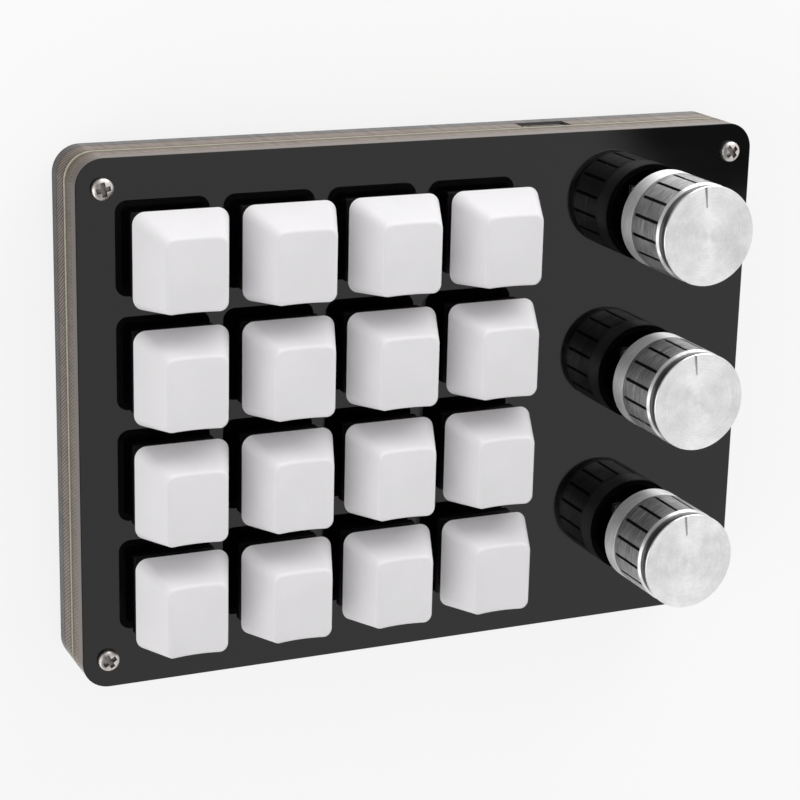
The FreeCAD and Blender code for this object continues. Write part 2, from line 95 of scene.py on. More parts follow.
# Tones of the sheets' edges, by height from the foot up, and the marks of the cutting beam on them
# The upper frame's brightest tone, at its top, is a painted edge highlight
UPPER_TONES = (0.5, 0.85, 0.95, 1.0, 1.3)
LOWER_TONES = (0.7, 0.9, 1.1, 0.9, 1.0, 0.45)
BOTTOM_TONES = (0.8, 0.9, 1.1, 0.8)
PLATE_EDGE_SHARE = 0.6
DUST_TONE = (0.10, 0.10, 0.10)
EDGE_SPECULAR = 0.03
# Share of colour left on edges that face along X: painted shade
SIDE_SHADE = 0.56
FRONT_SHARE = 0.3
BEAM_LEAN = 0.6
BEAM_PITCH = 0.74 * MM
BEAM_SHAKE = 3.0

# The mesh attribute that marks recessed points, where painted shade darkens them
RECESS_SHADE_NAME = "recess_shaded"

# Keycaps
CAP_STRIPS = 14
CAP_TOP_SLOPE = 0.85
POST_RADIUS = 2.75 * MM
POST_BORE_RADIUS = 2.06 * MM
POST_FOOT = 1.4 * MM
POST_ROOF = 2.0 * MM

# Knobs
KNOB_WALL = 1.2 * MM
KNOB_ROOF = 1.6 * MM
KNOB_STEPS = 192
KNOB_EDGE = 0.12 * MM
FACE_INSET = 0.05 * MM
SLOT_COUNT = 16
SLOT_TIP = 0.3 * MM
POINTER_START = 5.6 * MM
POINTER_DEPTH = 0.24 * MM
POINTER_DEGREES = 98
SAME_TURN = 0.2 * math.tau / KNOB_STEPS
# Painted shade in the knob's groove and slots: the groove's mark, and the share of colour left in the slots
GROOVE_SHADE = 0.82
SLOT_SHADE = 0.06

# Screws and standoffs: the dome's foot and the recess's depth and floor are shares of the head's height
SCREW_SHANK = 0.98 * MM
SCREW_PAST_PLATE = 2.4 * MM
SCREW_TURNS = (28, 12, 61, 40)
THREAD_PITCH = 0.4 * MM
THREAD_DEPTH = 0.2 * MM
DOME_FOOT = 0.42
RECESS_DEPTH = 0.55
RECESS_RISE = 0.35
RECESS_FLOOR = 0.25
RECESS_TAPER = 0.86
STANDOFF_EDGE = 0.12 * MM

# Feet: their rim and side, in shares of the radius and the height
FOOT_HOLLOW = 0.35 * MM
FOOT_PROFILE = ((0.84, 0.0), (0.88, 0.03), (0.91, 0.12), (0.985, 0.85), (1.0, 0.95), (0.99, 1.0), (0, 1.0))

# Key switches
HOUSING_EDGE = 0.18 * MM
COIL_RADIUS = 1.9 * MM
COIL_WIRE = 0.4 * MM
COIL_SIDES = 8
COIL_TURNS = 5
COIL_STEPS = 24

# Encoders
ENCODER_PROUD = 0.5 * MM
COVER_EDGE = 0.15 * MM
BUSH_RADIUS = 3.5 * MM
BUSH_BORE = 3.06 * MM
BUSH_THREAD_DEPTH = 0.28 * MM

# USB socket
SHELL_WALL = 0.3 * MM
TONGUE_WIDTH = 6.69 * MM
TONGUE_HEIGHT = 0.7 * MM
TONGUE_CORNER = 0.12 * MM
TONGUE_BACK = 0.9 * MM

# Camera, floor and light: each lamp has its name, azimuth, elevation, size and power
CAMERA_PLACE = (-0.17935, 0.12716, 0.40703)
CAMERA_TURN = (-17.16977, -23.63226, 1.45485)
CAMERA_LENS = 104.11
FLOOR_GLOW = 0.8
WORLD_LIGHT = 0.62
LAMP_DISTANCE = 1.0
LAMPS = (
    ("rear softbox", 65, 15, 0.9, 6.6),
    ("left softbox", 190, 31, 0.8, 2.3),
    ("left strip", 222, 10, 0.25, 0.5))
CORNER_FLAG = Vector((0.524, -0.151, 0.8385))


def length(name, description, default):
    """A size that a user may change, in metres."""
    return bpy.props.FloatProperty(
        name=name, description=description, default=default, unit="LENGTH", precision=5)


def colour(name, description, default):
    """A colour that a user may change."""
    return bpy.props.FloatVectorProperty(
        name=name, description=description, default=default, subtype="COLOR", size=3, min=0, max=1)


class KeypadSizes(bpy.types.PropertyGroup):
    """Sizes of the fine forms that the solids leave to this file."""

    sheet_edge: length("Sheet edge", "Broken edge of the cut acrylic sheets", 0.12 * MM)
    cap_top_width: length("Cap top width", "Width of a keycap's top", 11.6 * MM)
    cap_top_depth: length("Cap top depth", "Depth of a keycap's top, front to rear", 13.6 * MM)
    cap_top_forward: length("Cap top forward", "How far a keycap's top leans to the front", 1.2 * MM)
    cap_corner: length("Cap corner", "Radius of a keycap's upright corners at the skirt", 2.3 * MM)
    cap_edge: length("Cap edge", "Soft edge round a keycap's top", 0.55 * MM)
    cap_dish: length("Cap dish", "Depth of the hollow along a keycap's top", 0.85 * MM)
    cap_wall: length("Cap wall", "Thickness of a keycap's wall", 1.3 * MM)
    slot_start: length("Slot start", "Height on the knob where its slots start", 4.8 * MM)
    slot_end: length("Slot end", "Height on the knob where its slots end", 13.45 * MM)
    slot_depth: length("Slot depth", "Depth of the knob's slots", 0.5 * MM)
    rim_height: length("Rim height", "Height of the plain rim at the knob's foot", 4.0 * MM)
    groove_low: length("Groove low", "Height on the knob of the groove's lower edge", 14.2 * MM)
    groove_high: length("Groove high", "Height on the knob of the groove's upper edge", 16.35 * MM)
    groove_depth: length("Groove depth", "Depth of the groove under the knob's face", 0.7 * MM)
    rim_chamfer: length("Rim chamfer", "Radial width of the chamfer between the band and the groove", 0.35 * MM)
    chamfer_height: length("Chamfer height", "Height of the chamfer between the band and the groove", 0.55 * MM)
    screw_radius: length("Screw head", "Radius of a case screw's head", 2.05 * MM)
    recess_length: length("Recess", "Length of an arm of the screw's cross recess", 1.35 * MM)
    recess_width: length("Recess width", "Width of the screw's cross recess", 0.92 * MM)


class KeypadColours(bpy.types.PropertyGroup):
    """Colours of the finishes."""

    plate: colour("Top plate", "Black acrylic of the top plate", (0.001, 0.001, 0.0013))
    frames: colour("Frames", "Smoke brown acrylic of the frames", (0.215, 0.165, 0.135))
    bottom: colour("Bottom plate", "Dark grey acrylic of the bottom plate", (0.135, 0.128, 0.125))
    board: colour("Board", "Cut edge of the circuit board", (0.46, 0.42, 0.31))
    cap: colour("Keycaps", "White plastic of the keycaps", (0.82, 0.805, 0.82))
    knob: colour("Knobs", "Turned aluminium of the knobs", (0.96, 0.96, 0.96))
    screw: colour("Screws", "Plated steel of the case screws", (0.74, 0.69, 0.66))
    steel: colour("Sheet steel", "Socket and encoder covers", (0.62, 0.62, 0.61))
    black: colour("Black plastic", "Moulded black plastic", (0.012, 0.012, 0.012))
    stem: colour("Stems", "Sliders of the key switches", (0.30, 0.018, 0.014))
    brass: colour("Brass", "Pins and standoffs", (0.70, 0.50, 0.22))
    floor: colour("Floor", "Pale floor", (0.86, 0.86, 0.86))


# Materials


def new_material(name):
    """An empty node material, its tree, and its main shader."""
    material = bpy.data.materials.new(name)
    material.use_nodes = True
    tree = material.node_tree
    shader = tree.nodes["Principled BSDF"]
    return material, tree, shader


def linked(tree, kind, inputs=None, **settings):
    """A node with its settings made and its inputs set or linked."""
    node = tree.nodes.new(kind)
    for key, value in settings.items():
        setattr(node, key, value)
    for key, value in (inputs or {}).items():
        if isinstance(value, bpy.types.NodeSocket):
            tree.links.new(value, node.inputs[key])
        else:
            node.inputs[key].default_value = value
    return node


def maths(tree, operation, *values):
    """A calculation on values or links."""
    return linked(tree, "ShaderNodeMath", dict(enumerate(values)), operation=operation).outputs[0]


def vectors(tree, operation, *values, output=0):
    """A calculation on vectors or links."""
    return linked(tree, "ShaderNodeVectorMath", dict(enumerate(values)), operation=operation).outputs[output]


def dimmed(tree, shade, share):
    """A colour or a link times a share, as a link."""
    return linked(tree, "ShaderNodeVectorMath", {0: shade, "Scale": share}, operation="SCALE").outputs[0]


def object_place(tree):
    """The place on the object, in metres."""
    return linked(tree, "ShaderNodeTexCoord").outputs["Object"]


def axes_of(tree, vector):
    """The X, Y and Z outputs of a vector."""
    return linked(tree, "ShaderNodeSeparateXYZ", {"Vector": vector}).outputs


def place(tree, scale=(1, 1, 1)):
    """The place on the object, times a scale."""
    return linked(tree, "ShaderNodeMapping", {"Vector": object_place(tree), "Scale": scale}).outputs["Vector"]


def noise(tree, scale, detail=3, stretch=(1, 1, 1), roughness=0.55):
    """Soft random variation, finer with a higher scale, drawn out by the stretch."""
    node = linked(tree, "ShaderNodeTexNoise", {
        "Vector": place(tree, stretch), "Scale": scale, "Detail": detail, "Roughness": roughness})
    return node.outputs["Fac"]


def spread(tree, value, low, high, start=0.3, end=0.7):
    """Maps a value's middle range onto low to high."""
    node = linked(tree, "ShaderNodeMapRange", {
        "Value": value, "From Min": start, "From Max": end, "To Min": low, "To Max": high})
    return node.outputs["Result"]


def tinted(tree, value, dark, light):
    """A mix from a dark to a light colour, which may be links, by a value."""
    ends = [shade if isinstance(shade, bpy.types.NodeSocket) else (*shade, 1) for shade in (dark, light)]
    node = linked(tree, "ShaderNodeMix", {"Factor": value, "A": ends[0], "B": ends[1]}, data_type="RGBA")
    return node.outputs["Result"]


def mixed(tree, value, low, high):
    """A mix from a low to a high value by another."""
    node = linked(tree, "ShaderNodeMix", {"Factor": value, "A": low, "B": high}, data_type="FLOAT")
    return node.outputs["Result"]


def faces_along(tree, axis):
    """How far a face looks along an axis, either way, from 0 to 1."""
    facing = linked(tree, "ShaderNodeNewGeometry")
    return maths(tree, "ABSOLUTE", axes_of(tree, facing.outputs["Normal"])[axis])


def side_for_marks_and_shade(tree):
    """How far a cut edge faces left or right, fading towards the front; it sets how strong the beam's marks are
    and how much painted shade darkens the edge.
    """
    low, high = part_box("lower_frame")
    rear = spread(tree, axes_of(tree, object_place(tree))["Y"], FRONT_SHARE, 1, low.y, high.y)
    return maths(tree, "MULTIPLY", faces_along(tree, "X"), rear)


def bumped(tree, shader, height, strength, distance):
    """Fine relief on the shader's normal."""
    node = linked(tree, "ShaderNodeBump", {"Height": height, "Strength": strength, "Distance": distance})
    tree.links.new(node.outputs["Normal"], shader.inputs["Normal"])


def scaled(base, share):
    """A colour times a share."""
    return tuple(channel * share for channel in base)


def recess_shaded(tree, shade, share):
    """A colour that falls to a share of itself where the mesh's own attribute marks recessed points: painted
    shade.
    """
    depth = linked(tree, "ShaderNodeAttribute", attribute_name=RECESS_SHADE_NAME)
    return dimmed(tree, shade, spread(tree, depth.outputs["Fac"], 1, share, 0, 1))


def plastic(name, base, rough, grain=2500, relief=0.012 * MM, contrast=0.08, specular=0.5):
    """Moulded plastic: a fine grain, and slight unevenness of colour and gloss."""
    material, tree, shader = new_material(name)
    cloud = noise(tree, scale=120, detail=4)
    shade = tinted(tree, spread(tree, cloud, 0, 1), scaled(base, 1 - contrast), scaled(base, 1 + contrast / 4))
    tree.links.new(shade, shader.inputs["Base Color"])
    gloss = spread(tree, noise(tree, scale=400, detail=3), rough * 0.9, rough * 1.12)
    tree.links.new(gloss, shader.inputs["Roughness"])
    shader.inputs["Specular IOR Level"].default_value = specular
    bumped(tree, shader, noise(tree, scale=grain, detail=2), strength=0.35, distance=relief)
    return material


def metal(name, base, rough, stretch=(1, 1, 1), scale=900, contrast=0.2, recess_shade_share=0.2):
    """Plain metal with fine marks drawn out by the stretch, and painted shade where the mesh marks a recess."""
    material, tree, shader = new_material(name)
    shader.inputs["Metallic"].default_value = 1
    marks = noise(tree, scale, detail=5, stretch=stretch)
    shade = tinted(tree, spread(tree, marks, 0, 1), scaled(base, 1 - contrast), base)
    # Painted shade where the mesh marks a recess
    tree.links.new(recess_shaded(tree, shade, recess_shade_share), shader.inputs["Base Color"])
    tree.links.new(spread(tree, marks, rough * 1.25, rough * 0.8), shader.inputs["Roughness"])
    bumped(tree, shader, marks, strength=0.3, distance=0.01 * MM)
    return material


def gloss_sheet(name, base, cut):
    """Polished black sheet: near mirror gloss, specks of dust, faint wiping marks, and a dull cut edge with
    painted shade on its sides that face along X.
    """
    material, tree, shader = new_material(name)
    dust = linked(tree, "ShaderNodeTexVoronoi", {"Vector": place(tree), "Scale": 260, "Randomness": 1})
    speck = spread(tree, dust.outputs["Distance"], 1, 0, 0.02, 0.035)
    thin = spread(tree, noise(tree, scale=90, detail=2), 0, 1, 0.60, 0.66)
    face = tinted(tree, maths(tree, "MULTIPLY", speck, thin), base, DUST_TONE)
    level = maths(tree, "GREATER_THAN", faces_along(tree, "Z"), 0.5)
    # Painted shade on the edge's sides that face along X
    edge = dimmed(tree, cut, spread(tree, side_for_marks_and_shade(tree), 1, SIDE_SHADE, 0, 1))
    tree.links.new(tinted(tree, level, edge, face), shader.inputs["Base Color"])
    wipe = noise(tree, scale=60, detail=3, stretch=(1, 5, 1))
    tree.links.new(spread(tree, wipe, 0.03, 0.055), shader.inputs["Roughness"])
    tree.links.new(spread(tree, level, 0.12, 0.5, 0, 1), shader.inputs["Specular IOR Level"])
    shader.inputs["IOR"].default_value = 1.46
    return material


def layered_sheet(name, base, sheet, shares, stripes, rough=0.2):
    """Cut edge of a tinted sheet: tone by height through it, with leaning marks of the cutting beam, and painted
    shade on the sides that face along X.
    """
    material, tree, shader = new_material(name)
    low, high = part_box(sheet)
    axes = axes_of(tree, object_place(tree))
    ramp = linked(tree, "ShaderNodeValToRGB", {"Fac": spread(tree, axes["Z"], 0, 1, low.z, high.z)})
    ramp.color_ramp.interpolation = "B_SPLINE"
    steps = ramp.color_ramp.elements
    while len(steps) < len(shares):
        steps.new(0.5)
    for number, share in enumerate(shares):
        steps[number].position = number / (len(shares) - 1)
        steps[number].color = (*scaled(base, share), 1)
    marks = noise(tree, scale=700, detail=4, stretch=(1, 1, 0.02), roughness=0.7)
    lean = maths(tree, "MULTIPLY_ADD", axes["Z"], -BEAM_LEAN, axes["Y"])
    phase = maths(tree, "MULTIPLY", lean, math.tau / BEAM_PITCH)
    wave = maths(tree, "SINE", maths(tree, "MULTIPLY_ADD", marks, BEAM_SHAKE, phase))
    marks_and_shade_side = side_for_marks_and_shade(tree)
    beam = maths(tree, "MULTIPLY_ADD", wave, spread(tree, marks_and_shade_side, 0.4 * stripes, stripes, 0, 1), 1.0)
    # Painted shade on the sides that face along X, times an uneven cloud
    cloud_and_side_shade = maths(tree, "MULTIPLY", spread(tree, marks_and_shade_side, 1, SIDE_SHADE, 0, 1), spread(tree, marks, 0.8, 1.15))
    shade = dimmed(tree, ramp.outputs["Color"], maths(tree, "MULTIPLY", beam, cloud_and_side_shade))
    tree.links.new(shade, shader.inputs["Base Color"])
    tree.links.new(spread(tree, marks, rough * 1.4, rough * 0.7), shader.inputs["Roughness"])
    shader.inputs["Specular IOR Level"].default_value = EDGE_SPECULAR
    bumped(tree, shader, marks, strength=0.4, distance=0.03 * MM)
    return material


def turned_metal(name, base):
    """Turned aluminium: rings round the knob's axis, with the gloss drawn out across them, the band darkened as
    a painted dark reflection, and painted shade in the slots and groove.
    """
    material, tree, shader = new_material(name)
    shader.inputs["Metallic"].default_value = 1
    axes = axes_of(tree, object_place(tree))
    centre = knob_centre("2")
    across = maths(tree, "SUBTRACT", axes["X"], centre.x)
    along = maths(tree, "WRAP", axes["Y"], centre.y + KNOB_PITCH / 2, centre.y - KNOB_PITCH / 2)
    place_round = linked(tree, "ShaderNodeCombineXYZ", {"X": across, "Y": along}).outputs[0]
    radius = vectors(tree, "LENGTH", place_round, output="Value")
    rings = linked(tree, "ShaderNodeCombineXYZ", {"X": radius, "Z": axes["Z"]}).outputs[0]
    fine = linked(tree, "ShaderNodeTexNoise", {
        "Vector": rings, "Scale": 5200, "Detail": 4, "Roughness": 0.7}).outputs["Fac"]
    broad = linked(tree, "ShaderNodeTexNoise", {"Vector": rings, "Scale": 1500, "Detail": 2}).outputs["Fac"]
    shade = tinted(tree, spread(tree, fine, 0, 1), scaled(base, 0.80), base)
    foot_z, face_z = (corner.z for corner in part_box("knob_shell_2"))
    sizes = bpy.context.scene.keypad_sizes
    rim_z = foot_z + sizes.rim_height
    band_top = foot_z + sizes.groove_low - sizes.chamfer_height
    in_band = maths(tree, "COMPARE", axes["Z"], (rim_z + band_top) / 2, (band_top - rim_z) / 2)
    streaks = noise(tree, scale=300, detail=6, stretch=(1, 1, 7), roughness=0.72)
    # Streaky tone all round, and the band between rim and groove painted darker: a painted dark reflection
    streaks_and_band_shade = mixed(tree, in_band, spread(tree, streaks, 0.8, 1.05), spread(tree, streaks, 0.28, 0.78))
    # Painted shade in the slots and groove
    tree.links.new(recess_shaded(tree, dimmed(tree, shade, streaks_and_band_shade), SLOT_SHADE), shader.inputs["Base Color"])
    foot = spread(tree, axes["Z"], 0.14, 0, rim_z - 0.1 * MM, rim_z)
    upper = spread(tree, axes["Z"], 0.48, 0.34, face_z - 3.2 * MM, face_z - 3.0 * MM)
    uneven = maths(tree, "MULTIPLY", maths(tree, "ADD", foot, upper), spread(tree, broad, 0.88, 1.1))
    tree.links.new(uneven, shader.inputs["Roughness"])
    shader.inputs["Anisotropic"].default_value = 0.8
    round_axis = vectors(tree, "CROSS_PRODUCT", (0, 0, 1), place_round)
    facing = linked(tree, "ShaderNodeNewGeometry").outputs["Normal"]
    over_rings = vectors(tree, "CROSS_PRODUCT", facing, round_axis)
    tree.links.new(vectors(tree, "NORMALIZE", over_rings), shader.inputs["Tangent"])
    bumped(tree, shader, fine, strength=0.4, distance=0.008 * MM)
    return material


def circuit_board_skin(name, base):
    """Circuit board: tracks under green lacquer on its faces, and the bare cut edge."""
    material, tree, shader = new_material(name)
    tracks = linked(tree, "ShaderNodeTexBrick", {
        "Vector": place(tree), "Scale": 240, "Mortar Size": 0.02, "Color1": (0.01, 0.09, 0.035, 1),
        "Color2": (0.012, 0.11, 0.045, 1), "Mortar": (0.03, 0.17, 0.07, 1)})
    level = maths(tree, "GREATER_THAN", faces_along(tree, "Z"), 0.5)
    height = axes_of(tree, object_place(tree))["Z"]
    low, high = (corner.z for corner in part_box("circuit_board"))
    # The cut edge gets darker towards the top
    darker_upward = spread(tree, height, 1, 0.35, low + 0.55 * (high - low), low + 0.75 * (high - low))
    grain = spread(tree, noise(tree, scale=1500, detail=4, stretch=(1, 1, 0.1)), 0.75, 1)
    fibres = dimmed(tree, base, maths(tree, "MULTIPLY", darker_upward, grain))
    tree.links.new(tinted(tree, level, fibres, tracks.outputs["Color"]), shader.inputs["Base Color"])
    shader.inputs["Roughness"].default_value = 0.35
    shader.inputs["Specular IOR Level"].default_value = EDGE_SPECULAR
    bumped(tree, shader, tracks.outputs["Fac"], strength=0.3, distance=0.02 * MM)
    return material


def build_materials():
    """Every finish of the keypad, by its name."""
    tones = bpy.context.scene.keypad_colours
    smoke = tuple(tones.frames)
    return {
        "plate": gloss_sheet("black acrylic", tuple(tones.plate), scaled(smoke, PLATE_EDGE_SHARE)),
        "upper": layered_sheet("upper smoke acrylic", smoke, "upper_frame", UPPER_TONES, stripes=0.5),
        "lower": layered_sheet("lower smoke acrylic", smoke, "lower_frame", LOWER_TONES, stripes=0.8),
        "bottom": layered_sheet("grey acrylic", tuple(tones.bottom), "bottom_plate", BOTTOM_TONES, stripes=0.45),
        "board": circuit_board_skin("circuit board", tuple(tones.board)),
        "cap": plastic("white keycap plastic", tuple(tones.cap), 0.5, contrast=0.03),
        "knob": turned_metal("turned aluminium", tuple(tones.knob)),
        "screw": metal("plated screw steel", tuple(tones.screw), 0.38, contrast=0.3, recess_shade_share=0.3),
        "steel": metal("drawn sheet steel", tuple(tones.steel), 0.3, (1, 8, 8)),
        "shaft": metal("turned shaft metal", tuple(tones.steel), 0.3, (1, 1, 12)),
        "black": plastic("black moulded plastic", tuple(tones.black), 0.4),
        "housing": plastic("black switch plastic", scaled(tones.black, 0.4), 0.55, specular=0.25),
        "stem": plastic("red slider plastic", tuple(tones.stem), 0.35),
        "green": plastic("green encoder plastic", (0.02, 0.10, 0.045), 0.45),
        "ivory": plastic("ivory rotor plastic", (0.60, 0.57, 0.48), 0.4),
        "rubber": plastic("foot rubber", tuple(tones.black), 0.75, grain=1200, relief=0.04 * MM),
        "brass": metal("brass", tuple(tones.brass), 0.28),
        "spring": metal("spring wire", tuple(tones.steel), 0.25, (1, 1, 20)),
        "chip": plastic("chip resin", (0.018, 0.018, 0.02), 0.55, grain=3500),
    }


# Meshes


def finished(name, mesh_data, finish, body, nodes=(), smooth_degrees=20, level=False):
    """An object at the origin from a bmesh, with its finish, that rides on a body in place of its nodes."""
    limit = math.radians(smooth_degrees)
    mesh_data.normal_update()
    for face in mesh_data.faces:
        face.smooth = True
    for edge in mesh_data.edges:
        turn = edge.calc_face_angle(math.pi)
        lying = {abs(face.normal.z) > LEVEL_Z for face in edge.link_faces}
        edge.smooth = turn < limit and not (level and len(lying) == 2)
    mesh = bpy.data.meshes.new(name)
    mesh_data.to_mesh(mesh)
    mesh_data.free()
    mesh.materials.append(FINISH[finish])
    piece = bpy.data.objects.new(name, mesh)
    bpy.context.scene.collection.objects.link(piece)
    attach(piece, body)
    if nodes:
        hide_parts(*nodes)
    return piece


def merged_copy(node):
    """A bmesh copy of a solid's mesh, its triangles joined to flat faces."""
    work = bmesh.new()
    work.from_mesh(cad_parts[node].data)
    bmesh.ops.remove_doubles(work, verts=work.verts, dist=WELD)
    bmesh.ops.dissolve_limit(work, angle_limit=math.radians(1), verts=work.verts, edges=work.edges)
    return work


def rounded(work, edges, offset, segments):
    """Rounds some edges."""
    bmesh.ops.bevel(work, geom=edges, offset=offset, offset_type="OFFSET", segments=segments, profile=0.5,
                    affect="EDGES", clamp_overlap=True, material=-1)


def soften(work, offset):
    """Rounds every edge that turns more than 30 degrees."""
    limit = math.radians(30)
    sharp = [edge for edge in work.edges if len(edge.link_faces) == 2 and edge.calc_face_angle(0) > limit]
    rounded(work, sharp, offset, 2)


def lathe(work, profile, steps, start=0.0):
    """Spins (radius, height) points a full turn about Z and closes the seam."""
    way = Vector((math.cos(start), math.sin(start), 0))
    points = [work.verts.new((radius * way.x, radius * way.y, height)) for radius, height in profile]
    edges = [work.edges.new(pair) for pair in zip(points, points[1:])]
    bmesh.ops.spin(work, geom=points + edges, cent=(0, 0, 0), axis=(0, 0, 1), angle=math.tau, steps=steps,
                   use_merge=True)
    bmesh.ops.remove_doubles(work, verts=work.verts, dist=WELD)
    bmesh.ops.recalc_face_normals(work, faces=work.faces)


def moved(work, offset):
    """Moves all of a bmesh."""
    bmesh.ops.translate(work, vec=offset, verts=work.verts)
    return work


def joined(whole, part):
    """Adds one bmesh to another, and frees it."""
    template = bpy.data.meshes.new("template")
    part.to_mesh(template)
    part.free()
    whole.from_mesh(template)
    bpy.data.meshes.remove(template)


def corner_centres(high, radius):
    """The centres of four round pieces that reach the corners of a box round the origin."""
    x = high.x - radius
    y = high.y - radius
    return [Vector((side * x, end * y, 0)) for side in (-1, 1) for end in (-1, 1)]


def copies(source, offsets):
    """One bmesh with a copy of the source at each offset."""
    template = bpy.data.meshes.new("template")
    source.to_mesh(template)
    source.free()
    whole = bmesh.new()
    for offset in offsets:
        before = len(whole.verts)
        whole.from_mesh(template)
        whole.verts.ensure_lookup_table()
        bmesh.ops.translate(whole, vec=offset, verts=whole.verts[before:])
    bpy.data.meshes.remove(template)
    return whole


def cap_mesh(sizes, low, high):
    """A keycap round its own centre: tapered walls, dished top, soft edges, and its hollow inside."""
    height = high.z - low.z
    width = high.x - low.x
    depth = high.y - low.y
    work = bmesh.new()
    bmesh.ops.create_cube(work, size=1)
    bmesh.ops.scale(work, vec=(width, depth, height), verts=work.verts)
    bmesh.ops.translate(work, vec=(0, 0, height / 2), verts=work.verts)
    upright = [edge for edge in work.edges if abs(edge.verts[0].co.z - edge.verts[1].co.z) > height / 2]
    rounded(work, upright, sizes.cap_corner, 10)
    top = [vert for vert in work.verts if vert.co.z > height / 2]
    bmesh.ops.scale(work, vec=(sizes.cap_top_width / width, sizes.cap_top_depth / depth, 1), verts=top)
    bmesh.ops.translate(work, vec=(0, -sizes.cap_top_forward, 0), verts=top)
    flat = sizes.cap_top_width / 2 - sizes.cap_corner * sizes.cap_top_width / width
    for step in range(CAP_STRIPS + 1):
        x = flat * (2 * step / CAP_STRIPS - 1)
        bmesh.ops.bisect_plane(work, geom=work.verts[:] + work.edges[:] + work.faces[:], dist=CUT_LIMIT,
                               plane_co=(x, 0, 0), plane_no=(1, 0, 0))
    half = sizes.cap_top_width / 2
    for vert in work.verts:
        if vert.co.z > height - SAME_HEIGHT:
            vert.co.z -= sizes.cap_dish * (1 - min(1, (vert.co.x / half) ** 2))
    work.normal_update()
    rim = [edge for edge in work.edges if len(edge.link_faces) == 2
           and sorted(face.normal.z > CAP_TOP_SLOPE for face in edge.link_faces) == [False, True]]
    rounded(work, rim, sizes.cap_edge, 5)
    work.normal_update()
    bottom = [face for face in work.faces if face.normal.z < -CAP_TOP_SLOPE]
    bmesh.ops.delete(work, geom=bottom, context="FACES")
    bmesh.ops.recalc_face_normals(work, faces=work.faces)
    bmesh.ops.solidify(work, geom=work.faces[:], thickness=sizes.cap_wall)
    for vert in work.verts:
        vert.co.z = max(0, vert.co.z)
    return work


def cap_post(work, low_z, high_z):
    """The round post under a keycap's roof that takes the slider's cross."""
    tube = bmesh.new()
    inner = POST_BORE_RADIUS
    outer = POST_RADIUS
    lathe(tube, ((inner, high_z), (inner, low_z), (outer, low_z), (outer, high_z)), 24)
    joined(work, tube)


class KEYPAD_OT_keycaps(bpy.types.Operator):
    """Replaces the keycaps by finely rounded ones"""

    bl_idname = "keypad.keycaps"
    bl_label = "Keycaps"

    def execute(self, context):
        sizes = context.scene.keypad_sizes
        for key in KEYS:
            low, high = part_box("keycap_" + key)
            centre = (low + high) / 2
            work = cap_mesh(sizes, low, high)
            cap_post(work, POST_FOOT, (high.z - low.z) - POST_ROOF)
            moved(work, (centre.x, centre.y, low.z))
            finished("keycap_%s_dress" % key, work, "cap", "key_" + key, ["keycap_" + key],
                     smooth_degrees=50)
        return {"FINISHED"}


def knob_profile(sizes, height, radius):
    """The knob's (radius, height) points from the middle of its roof, inside, round to its face."""
    fine = KNOB_EDGE
    inside = radius - KNOB_WALL
    roof = height - KNOB_ROOF
    line = sizes.rim_height
    ring = (sizes.slot_start + sizes.slot_end) / 2 - 5 * fine
    groove = radius - sizes.groove_depth
    shoulder = radius - sizes.rim_chamfer
    edge = radius - FACE_INSET
    low = sizes.groove_low
    top = sizes.groove_high
    return (
        (0, roof), (inside - fine, roof), (inside, roof - fine), (inside, 2 * fine), (inside + 2 * fine, 0),
        (radius - fine, 0), (radius, fine), (radius, line - fine), (radius - fine / 2, line),
        (radius, line + fine), (radius, sizes.slot_start), (radius, ring - fine), (radius - fine / 4, ring),
        (radius, ring + fine), (radius, sizes.slot_end), (radius, low - sizes.chamfer_height), (shoulder, low),
        (groove + fine / 2, low + fine / 2), (groove, low + fine), (groove, top - fine), (groove + fine, top),
        (edge - fine, top), (edge, top + fine), (edge, height - fine), (edge - fine, height),
        (edge - 4 * fine, height), (POINTER_START, height), (POINTER_START / 2, height), (0, height))


def turn_away(point, turn):
    """How far a point lies from a turn about Z, in radians."""
    return (math.atan2(point.y, point.x) - turn + math.pi) % math.tau - math.pi


def outer_faces(work, turn, low, high, outer):
    """The two columns of faces at a turn about Z, between two heights, that lie outside a radius."""
    chosen = []
    for face in work.faces:
        centre = face.calc_center_median()
        near = abs(turn_away(centre, turn)) < math.tau / KNOB_STEPS
        if near and low < centre.z < high and centre.xy.length > outer:
            chosen.append(face)
    return chosen


def sink(work, faces):
    """Extrudes faces and takes the old ones away; gives the new points."""
    made = bmesh.ops.extrude_face_region(work, geom=faces)
    bmesh.ops.delete(work, geom=faces, context="FACES")
    return [item for item in made["geom"] if isinstance(item, bmesh.types.BMVert)]


def cut_slot(work, sizes, radius, turn, recess_shade_layer):
    """A lengthwise slot with pointed ends in the knob's band."""
    floor = radius - sizes.slot_depth
    # The slot's floor points carry the mark for painted shade
    for vert in sink(work, outer_faces(work, turn, sizes.slot_start, sizes.slot_end, radius - 0.2 * MM)):
        vert.co.xy *= floor / vert.co.xy.length
        vert[recess_shade_layer] = 1
    for vert in work.verts:
        if vert.co.xy.length > floor - SAME_HEIGHT and abs(turn_away(vert.co, turn)) < SAME_TURN:
            if abs(vert.co.z - sizes.slot_start) < SAME_HEIGHT:
                vert.co.z -= SLOT_TIP
            elif abs(vert.co.z - sizes.slot_end) < SAME_HEIGHT:
                vert.co.z += SLOT_TIP / 3


